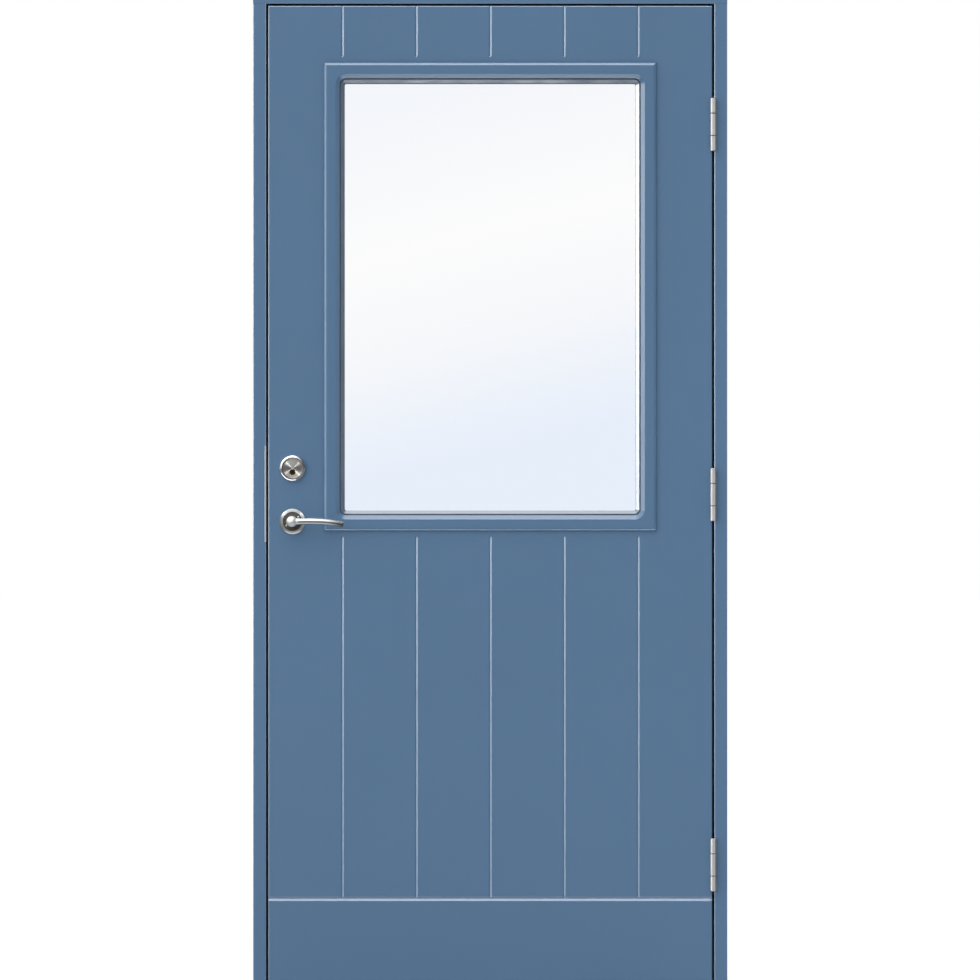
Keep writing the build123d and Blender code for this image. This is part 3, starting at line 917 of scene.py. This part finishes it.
@dataclass(frozen=True)
class SoftLamp:
    """A broad far lamp, given by where its light comes from and how bright it looks."""

    name: str
    come_from: Point
    degrees: float
    radiance: float
    in_gloss: bool = True
    hidden_from: tuple[Gloss, ...] = ()

    def _data(self) -> bpy.types.Light:
        """The lamp's light, a distant disc."""
        half = math.radians(self.degrees) / 2
        data = bpy.data.lights.new(self.name, "SUN")
        data.angle = 2 * half
        data.energy = self.radiance * 2 * math.pi * (1 - math.cos(half))
        return data

    def hang(self) -> bpy.types.Object:
        """Adds the lamp.

        Returns:
            The lamp.
        """
        lamp = bpy.data.objects.new(self.name, self._data())
        lamp.location = Vector(self.come_from) * LAMP_DISTANCE
        lamp.rotation_mode = "QUATERNION"
        lamp.rotation_quaternion = (-Vector(self.come_from)).to_track_quat("-Z", "Y")
        lamp.visible_camera = False
        lamp.visible_glossy = self.in_gloss
        bpy.context.scene.collection.objects.link(lamp)
        if self.hidden_from:
            names = [name for gloss in self.hidden_from for name in gloss.value]
            group = self._collection("hidden", names)
            lamp.light_linking.receiver_collection = group
            for member in group.collection_objects:
                member.light_linking.link_state = "EXCLUDE"
        return lamp

    def _collection(self, purpose: str, names: list[str]) -> bpy.types.Collection:
        """A loose collection of CAD nodes for the lamp.

        Args:
            purpose: What the collection is for.
            names: The nodes' names.

        Returns:
            The collection.
        """
        group = bpy.data.collections.new(f"{self.name}_{purpose}")
        for name in names:
            group.objects.link(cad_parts[name])
        return group


@dataclass(frozen=True, kw_only=True)
class Card(SoftLamp):
    """A far white card that lights nothing and only shows in the gloss of some pieces."""

    shows_on: tuple[Gloss, ...]

    def hang(self) -> bpy.types.Object:
        """Adds the card.

        Returns:
            The lamp that stands for it.
        """
        lamp = super().hang()
        lamp.visible_diffuse = False
        names = [name for gloss in self.shows_on for name in gloss.value]
        lamp.light_linking.receiver_collection = self._collection("lit", names)
        lamp.light_linking.blocker_collection = self._collection("shaded", list(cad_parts))
        return lamp


@dataclass(frozen=True, kw_only=True)
class FloorCard(Card):
    """A card that lies on the floor, face up; its light comes from the card's own middle."""

    degrees: float = field(default=0.0, init=False)
    width: float = 3.0
    depth: float = 0.20

    def _data(self) -> bpy.types.Light:
        """The card's light, a rectangle."""
        data = bpy.data.lights.new(self.name, "AREA")
        data.shape = "RECTANGLE"
        data.size = self.width
        data.size_y = self.depth
        data.energy = self.radiance * math.pi * self.width * self.depth
        return data

    def hang(self) -> bpy.types.Object:
        """Adds the card, facing up.

        Returns:
            The lamp that stands for it.
        """
        lamp = super().hang()
        lamp.location = self.come_from
        lamp.rotation_mode = "XYZ"
        lamp.rotation_euler = (math.pi, 0.0, 0.0)
        return lamp


@dataclass
class Studio:
    """Floor, world, lamps and the camera in front of the door."""

    lens: float = 200.0
    sensor: float = 36.0
    view_height: float = 2.0456
    aim: Point = (-0.0004, -0.0525, 1.0476)
    floor_half: float = 40.0
    floor_colour: Colour = (0.68, 0.68, 0.68)
    floor_glow: float = 1.11
    floor_mirror: float = 0.23
    floor_share: float = 0.75
    room_left: float = 0.45
    room_right: float = 0.12
    mirror_left: float = 0.08
    mirror_right: float = 0.05
    mirror_front: float = 0.16
    mirror_sky: float = 1.4
    sky_edge: Span = (0.22, 0.55)
    sky_right: Span = (0.20, 0.70)
    room_span: Span = (-0.8, 0.8)
    mirror_span: Span = (-0.7, 0.7)
    lamps: tuple[SoftLamp, ...] = (
        SoftLamp("key", (-0.75, -0.85, 0.95), 84.0, 1.30,
                 hidden_from=(Gloss.HINGE, Gloss.FACE, Gloss.ROSE)),
        SoftLamp("fill", (0.80, -0.85, 0.85), 84.0, 0.45, in_gloss=False),
        SoftLamp("back_key", (0.60, 0.90, 0.90), 70.0, 1.45),
        SoftLamp("back_fill", (-0.80, 0.85, 0.75), 70.0, 0.68),
    )
    timber_cards: tuple[Card, ...] = (
        Card("left_card", (-0.85, -0.53, -0.08), 24.0, 13.0, shows_on=(Gloss.TIMBER,)),
        Card("back_left_card", (0.85, 0.53, 0.0), 24.0, 7.0, shows_on=(Gloss.TIMBER,)),
        Card("low_card", (0.0, -0.42, -0.90), 46.0, 6.0, shows_on=(Gloss.TIMBER,)),
    )
    edge_cards: tuple[Card, ...] = (
        Card("right_card", (0.85, -0.53, 0.0), 24.0, 5.0, shows_on=(Gloss.FRAME,)),
        Card("left_edge_card", (-0.97, -0.22, 0.0), 30.0, 6.0, shows_on=(Gloss.TIMBER, Gloss.WINDOW)),
        Card("top_card", (0.0, -0.42, 0.90), 46.0, 6.0, shows_on=(Gloss.TIMBER, Gloss.WINDOW)),
        Card("back_edge_card", (0.97, 0.22, 0.0), 30.0, 5.0, shows_on=(Gloss.TIMBER, Gloss.WINDOW)),
        Card("back_top_card", (0.0, 0.42, 0.90), 46.0, 5.0, shows_on=(Gloss.TIMBER, Gloss.WINDOW)),
        FloorCard("window_floor_card", (0.0, -0.16, 0.02), 10.5, shows_on=(Gloss.WINDOW,)),
    )
    gasket_cards: tuple[Card, ...] = (
        Card("gasket_left_card", (-0.97, -0.22, 0.0), 30.0, 13.0, shows_on=(Gloss.GASKET,)),
        Card("gasket_top_card", (0.0, -0.42, 0.90), 46.0, 2.7, shows_on=(Gloss.GASKET,)),
        FloorCard("gasket_floor_card", (0.0, -0.16, 0.02), 32.0, shows_on=(Gloss.GASKET,)),
    )
    metal_cards: tuple[Card, ...] = (
        Card("left_glint", (-0.58, -0.64, 0.50), 9.0, 53.0, shows_on=(Gloss.METAL,)),
        Card("right_glint", (0.59, -0.64, 0.49), 9.0, 46.0, shows_on=(Gloss.FACE, Gloss.ROSE)),
        FloorCard("ring_floor_card", (-0.75, -0.75, 0.02), 1.8,
                  width=1.2, depth=1.2, shows_on=(Gloss.RING,)),
        FloorCard("ring_side_card", (-2.30, -1.25, 0.02), 1.8,
                  width=1.9, depth=1.5, shows_on=(Gloss.RING,)),
        FloorCard("rose_floor_card", (-0.41, -0.45, 0.02), 1.3,
                  width=1.6, depth=0.8, shows_on=(Gloss.ROSE,)),
        Card("rose_right_card", (0.92, -0.40, 0.0), 50.0, 1.8, shows_on=(Gloss.ROSE,)),
        FloorCard("lever_floor_card", (0.0, -0.40, 0.02), 0.55, depth=0.70, shows_on=(Gloss.LEVER,)),
        Card("hinge_left_card", (-0.95, -0.25, 0.0), 40.0, 4.5, shows_on=(Gloss.HINGE,)),
        Card("hinge_front_card", (-0.62, -0.78, 0.0), 70.0, 0.75, shows_on=(Gloss.HINGE,)),
        Card("hinge_right_card", (0.66, -0.75, 0.0), 66.0, 1.05, shows_on=(Gloss.HINGE,)),
    )

    def _floor(self) -> None:
        """Lays the pale floor, which shows white and keeps the shadow."""
        mesh = bmesh.new()
        bmesh.ops.create_grid(mesh, x_segments=1, y_segments=1, size=self.floor_half)
        data = bpy.data.meshes.new("studio_floor")
        mesh.to_mesh(data)
        mesh.free()
        graph = Graph.for_material("studio_floor")
        matt = graph.add("ShaderNodeBsdfDiffuse", {"Color": (*self.floor_colour, 1.0)})
        path = graph.add("ShaderNodeLightPath").outputs
        mirrored = graph.math("SUBTRACT", path["Is Glossy Ray"], path["Is Transmission Ray"])
        level = graph.remap(mirrored, UNIT, (self.floor_glow, self.floor_mirror))
        glow = graph.add("ShaderNodeEmission", {"Color": (1.0, 1.0, 1.0, 1.0), "Strength": level})
        seen = graph.math("MAXIMUM", path["Is Camera Ray"], path["Is Transmission Ray"])
        factor = graph.math("MAXIMUM", graph.math("MULTIPLY", seen, self.floor_share), mirrored)
        mix = graph.add("ShaderNodeMixShader", {0: factor, 1: matt.outputs[0], 2: glow.outputs[0]})
        graph.add("ShaderNodeOutputMaterial", {"Surface": mix.outputs[0]})
        data.materials.append(graph.owner)
        floor = bpy.data.objects.new("studio_floor", data)
        bpy.context.scene.collection.objects.link(floor)

    def _world(self) -> None:
        """A soft room, brighter to the left and overhead, in front of white."""
        world = bpy.data.worlds.new("studio_world")
        bpy.context.scene.world = world
        graph = Graph(world)
        way = graph.add("ShaderNodeTexCoord").outputs["Generated"]
        split = graph.add("ShaderNodeSeparateXYZ", {0: way})
        room = graph.remap(split.outputs["X"], self.room_span, (self.room_left, self.room_right))
        side = graph.remap(split.outputs["X"], self.mirror_span, (self.mirror_left, self.mirror_right))
        ahead = graph.math("POWER", graph.math("ABSOLUTE", split.outputs["Y"]), 2.0)
        overhead = graph.remap(split.outputs["Z"], self.sky_edge, UNIT)
        mirror = graph.blend(ahead, graph.grey(side), (self.mirror_front,) * 3)
        sky = graph.remap(split.outputs["X"], self.sky_right, (self.mirror_sky, self.mirror_right))
        mirror = graph.blend(overhead, mirror, graph.grey(sky))
        path = graph.add("ShaderNodeLightPath").outputs
        room = graph.blend(path["Is Glossy Ray"], graph.grey(room), mirror)
        seen = graph.math("MAXIMUM", path["Is Camera Ray"], path["Is Transmission Ray"])
        colour = graph.blend(seen, room, (1.0, 1.0, 1.0))
        back = graph.add("ShaderNodeBackground", {"Color": colour, "Strength": 1.0})
        graph.add("ShaderNodeOutputWorld", {"Surface": back.outputs[0]})

    def _camera(self) -> None:
        """Sets the camera square to the door, framed as the photograph is."""
        data = bpy.data.cameras.new("camera")
        data.lens = self.lens
        data.sensor_width = self.sensor
        camera = bpy.data.objects.new("camera", data)
        distance = self.view_height * self.lens / self.sensor
        camera.location = Vector(self.aim) - Vector((0.0, distance, 0.0))
        camera.rotation_euler = (math.pi / 2, 0.0, 0.0)
        bpy.context.scene.collection.objects.link(camera)
        bpy.context.scene.camera = camera

    def build(self) -> None:
        """Sets up the whole studio."""
        bpy.context.scene.view_settings.view_transform = "Standard"
        self._floor()
        self._world()
        cards = self.timber_cards + self.edge_cards + self.gasket_cards + self.metal_cards
        for lamp in self.lamps + cards:
            lamp.hang()
        self._camera()


def main() -> None:
    """Builds and dresses every sub-assembly, then the studio."""
    logging.basicConfig(level=logging.INFO, format="%(message)s")
    paint = (0.083, 0.162, 0.274)
    screw_steel = MetalFinish("screw_steel", (0.66, 0.66, 0.65), Run.LEVEL, roughness=0.2).material()
    for assembly in (DoorFrame(paint), DoorLeaf(paint), Window(paint), Hinges(), Lock(), Handle()):
        assembly.dress()
        assembly.build(screw_steel)
        LOG.info("finished %s", type(assembly).__name__)
    Studio().build()


if __name__ == "__main__":
    main()
